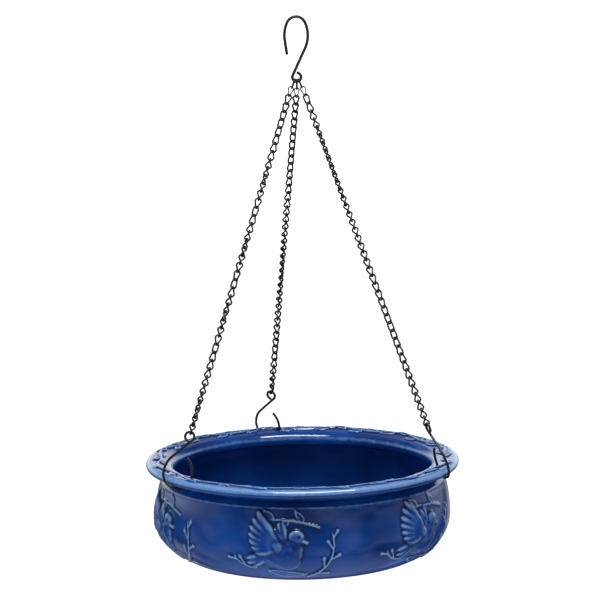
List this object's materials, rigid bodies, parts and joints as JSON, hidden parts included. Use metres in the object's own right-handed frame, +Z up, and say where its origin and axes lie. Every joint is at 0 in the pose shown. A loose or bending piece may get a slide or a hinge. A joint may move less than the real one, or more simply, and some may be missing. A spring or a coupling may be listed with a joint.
{
  "type": "bird bath",
  "caption": "Hanging bird bath: a round glazed bowl with relief decoration, held level by twisted-link chains with rim hooks that meet at a top hook.",
  "frame": {"origin": "the point on the inside of the top hook where it rests on what it hangs from", "axes": "+Z up along the hanging line; the top hook lies in the XZ plane with its open side toward -X; one chain goes to the back (+Y), two to the front left and front right"},
  "size_m": [0.3179, 0.3214, 0.548],
  "materials": {
    "glaze": "gloss blue glaze, paler where it breaks over the relief",
    "black_metal": "satin black coating"
  },
  "bodies": {
    "top_hook": {"hanger_hook": "black_metal"},
    "top_links": {"back_first_link": "black_metal", "left_first_link": "black_metal", "right_first_link": "black_metal"},
    "hung_bowl": {"bowl": "glaze", "back_second_link": "black_metal", "left_second_link": "black_metal", "right_second_link": "black_metal"},
    "rim_hook_back": {"rim_hook_back": "black_metal"},
    "back_chain_1": {"back_links_01": "black_metal", "back_links_02": "black_metal"},
    "back_chain_2": {"back_links_03": "black_metal", "back_links_04": "black_metal"},
    "back_chain_3": {"back_links_05": "black_metal", "back_links_06": "black_metal"},
    "back_chain_4": {"back_links_07": "black_metal", "back_links_08": "black_metal"},
    "back_chain_5": {"back_links_09": "black_metal", "back_links_10": "black_metal"},
    "back_chain_6": {"back_links_11": "black_metal", "back_links_12": "black_metal"},
    "back_chain_7": {"back_links_13": "black_metal", "back_links_14": "black_metal"},
    "rim_hook_left": {"rim_hook_left": "black_metal"},
    "left_chain_1": {"left_links_01": "black_metal", "left_links_02": "black_metal"},
    "left_chain_2": {"left_links_03": "black_metal", "left_links_04": "black_metal"},
    "left_chain_3": {"left_links_05": "black_metal", "left_links_06": "black_metal"},
    "left_chain_4": {"left_links_07": "black_metal", "left_links_08": "black_metal"},
    "left_chain_5": {"left_links_09": "black_metal", "left_links_10": "black_metal"},
    "left_chain_6": {"left_links_11": "black_metal", "left_links_12": "black_metal"},
    "left_chain_7": {"left_links_13": "black_metal", "left_links_14": "black_metal"},
    "rim_hook_right": {"rim_hook_right": "black_metal"},
    "right_chain_1": {"right_links_01": "black_metal", "right_links_02": "black_metal"},
    "right_chain_2": {"right_links_03": "black_metal", "right_links_04": "black_metal"},
    "right_chain_3": {"right_links_05": "black_metal", "right_links_06": "black_metal"},
    "right_chain_4": {"right_links_07": "black_metal", "right_links_08": "black_metal"},
    "right_chain_5": {"right_links_09": "black_metal", "right_links_10": "black_metal"},
    "right_chain_6": {"right_links_11": "black_metal", "right_links_12": "black_metal"},
    "right_chain_7": {"right_links_13": "black_metal", "right_links_14": "black_metal"}
  },
  "joints": [
    {"name": "swing_side", "type": "hinge", "parent": "top_hook", "child": "top_links", "pos_m": [0, 0, -0.0585], "axis": [0, 1, 0], "range_deg": [-12, 12]},
    {"name": "swing_front", "type": "hinge", "parent": "top_links", "child": "hung_bowl", "pos_m": [0, 0, -0.06962], "axis": [1, 0, 0], "range_deg": [-15, 15]},
    {"name": "back_hook_swivel", "type": "hinge", "parent": "hung_bowl", "child": "rim_hook_back", "pos_m": [-0.01009, 0.15597, -0.454], "axis": [0.0244, -0.3771, 0.9259], "range_deg": [-2, 2]},
    {"name": "back_twist_1", "type": "hinge", "parent": "hung_bowl", "child": "back_chain_1", "pos_m": [-0.00875, 0.13533, -0.40331], "axis": [0.0243, -0.3754, 0.9265], "range_deg": [-15, 15]},
    {"name": "back_twist_2", "type": "hinge", "parent": "hung_bowl", "child": "back_chain_2", "pos_m": [-0.00875, 0.13533, -0.40331], "axis": [0.0243, -0.3754, 0.9265], "range_deg": [-30, 30]},
    {"name": "back_twist_3", "type": "hinge", "parent": "hung_bowl", "child": "back_chain_3", "pos_m": [-0.00875, 0.13533, -0.40331], "axis": [0.0243, -0.3754, 0.9265], "range_deg": [-45, 45]},
    {"name": "back_twist_4", "type": "hinge", "parent": "hung_bowl", "child": "back_chain_4", "pos_m": [-0.00875, 0.13533, -0.40331], "axis": [0.0243, -0.3754, 0.9265], "range_deg": [-60, 60]},
    {"name": "back_twist_5", "type": "hinge", "parent": "hung_bowl", "child": "back_chain_5", "pos_m": [-0.00875, 0.13533, -0.40331], "axis": [0.0243, -0.3754, 0.9265], "range_deg": [-45, 45]},
    {"name": "back_twist_6", "type": "hinge", "parent": "hung_bowl", "child": "back_chain_6", "pos_m": [-0.00875, 0.13533, -0.40331], "axis": [0.0243, -0.3754, 0.9265], "range_deg": [-30, 30]},
    {"name": "back_twist_7", "type": "hinge", "parent": "hung_bowl", "child": "back_chain_7", "pos_m": [-0.00875, 0.13533, -0.40331], "axis": [0.0243, -0.3754, 0.9265], "range_deg": [-15, 15]},
    {"name": "left_hook_swivel", "type": "hinge", "parent": "hung_bowl", "child": "rim_hook_left", "pos_m": [-0.14012, -0.06925, -0.454], "axis": [0.3261, 0.1676, 0.9303], "range_deg": [-2, 2]},
    {"name": "left_twist_1", "type": "hinge", "parent": "hung_bowl", "child": "left_chain_1", "pos_m": [-0.12226, -0.06008, -0.40306], "axis": [0.3247, 0.1669, 0.931], "range_deg": [-15, 15]},
    {"name": "left_twist_2", "type": "hinge", "parent": "hung_bowl", "child": "left_chain_2", "pos_m": [-0.12226, -0.06008, -0.40306], "axis": [0.3247, 0.1669, 0.931], "range_deg": [-30, 30]},
    {"name": "left_twist_3", "type": "hinge", "parent": "hung_bowl", "child": "left_chain_3", "pos_m": [-0.12226, -0.06008, -0.40306], "axis": [0.3247, 0.1669, 0.931], "range_deg": [-45, 45]},
    {"name": "left_twist_4", "type": "hinge", "parent": "hung_bowl", "child": "left_chain_4", "pos_m": [-0.12226, -0.06008, -0.40306], "axis": [0.3247, 0.1669, 0.931], "range_deg": [-60, 60]},
    {"name": "left_twist_5", "type": "hinge", "parent": "hung_bowl", "child": "left_chain_5", "pos_m": [-0.12226, -0.06008, -0.40306], "axis": [0.3247, 0.1669, 0.931], "range_deg": [-45, 45]},
    {"name": "left_twist_6", "type": "hinge", "parent": "hung_bowl", "child": "left_chain_6", "pos_m": [-0.12226, -0.06008, -0.40306], "axis": [0.3247, 0.1669, 0.931], "range_deg": [-30, 30]},
    {"name": "left_twist_7", "type": "hinge", "parent": "hung_bowl", "child": "left_chain_7", "pos_m": [-0.12226, -0.06008, -0.40306], "axis": [0.3247, 0.1669, 0.931], "range_deg": [-15, 15]},
    {"name": "right_hook_swivel", "type": "hinge", "parent": "hung_bowl", "child": "rim_hook_right", "pos_m": [0.13003, -0.08672, -0.454], "axis": [-0.3016, 0.2098, 0.93], "range_deg": [-2, 2]},
    {"name": "right_twist_1", "type": "hinge", "parent": "hung_bowl", "child": "right_chain_1", "pos_m": [0.11352, -0.07523, -0.40308], "axis": [-0.3003, 0.2089, 0.9307], "range_deg": [-15, 15]},
    {"name": "right_twist_2", "type": "hinge", "parent": "hung_bowl", "child": "right_chain_2", "pos_m": [0.11352, -0.07523, -0.40308], "axis": [-0.3003, 0.2089, 0.9307], "range_deg": [-30, 30]},
    {"name": "right_twist_3", "type": "hinge", "parent": "hung_bowl", "child": "right_chain_3", "pos_m": [0.11352, -0.07523, -0.40308], "axis": [-0.3003, 0.2089, 0.9307], "range_deg": [-45, 45]},
    {"name": "right_twist_4", "type": "hinge", "parent": "hung_bowl", "child": "right_chain_4", "pos_m": [0.11352, -0.07523, -0.40308], "axis": [-0.3003, 0.2089, 0.9307], "range_deg": [-60, 60]},
    {"name": "right_twist_5", "type": "hinge", "parent": "hung_bowl", "child": "right_chain_5", "pos_m": [0.11352, -0.07523, -0.40308], "axis": [-0.3003, 0.2089, 0.9307], "range_deg": [-45, 45]},
    {"name": "right_twist_6", "type": "hinge", "parent": "hung_bowl", "child": "right_chain_6", "pos_m": [0.11352, -0.07523, -0.40308], "axis": [-0.3003, 0.2089, 0.9307], "range_deg": [-30, 30]},
    {"name": "right_twist_7", "type": "hinge", "parent": "hung_bowl", "child": "right_chain_7", "pos_m": [0.11352, -0.07523, -0.40308], "axis": [-0.3003, 0.2089, 0.9307], "range_deg": [-15, 15]}
  ],
  "couplings": [
    {"joint": "back_twist_1", "follows": "back_twist_4", "ratio": 0.25},
    {"joint": "back_twist_2", "follows": "back_twist_4", "ratio": 0.5},
    {"joint": "back_twist_3", "follows": "back_twist_4", "ratio": 0.75},
    {"joint": "back_twist_5", "follows": "back_twist_4", "ratio": 0.75},
    {"joint": "back_twist_6", "follows": "back_twist_4", "ratio": 0.5},
    {"joint": "back_twist_7", "follows": "back_twist_4", "ratio": 0.25},
    {"joint": "left_twist_1", "follows": "left_twist_4", "ratio": 0.25},
    {"joint": "left_twist_2", "follows": "left_twist_4", "ratio": 0.5},
    {"joint": "left_twist_3", "follows": "left_twist_4", "ratio": 0.75},
    {"joint": "left_twist_5", "follows": "left_twist_4", "ratio": 0.75},
    {"joint": "left_twist_6", "follows": "left_twist_4", "ratio": 0.5},
    {"joint": "left_twist_7", "follows": "left_twist_4", "ratio": 0.25},
    {"joint": "right_twist_1", "follows": "right_twist_4", "ratio": 0.25},
    {"joint": "right_twist_2", "follows": "right_twist_4", "ratio": 0.5},
    {"joint": "right_twist_3", "follows": "right_twist_4", "ratio": 0.75},
    {"joint": "right_twist_5", "follows": "right_twist_4", "ratio": 0.75},
    {"joint": "right_twist_6", "follows": "right_twist_4", "ratio": 0.5},
    {"joint": "right_twist_7", "follows": "right_twist_4", "ratio": 0.25}
  ]
}
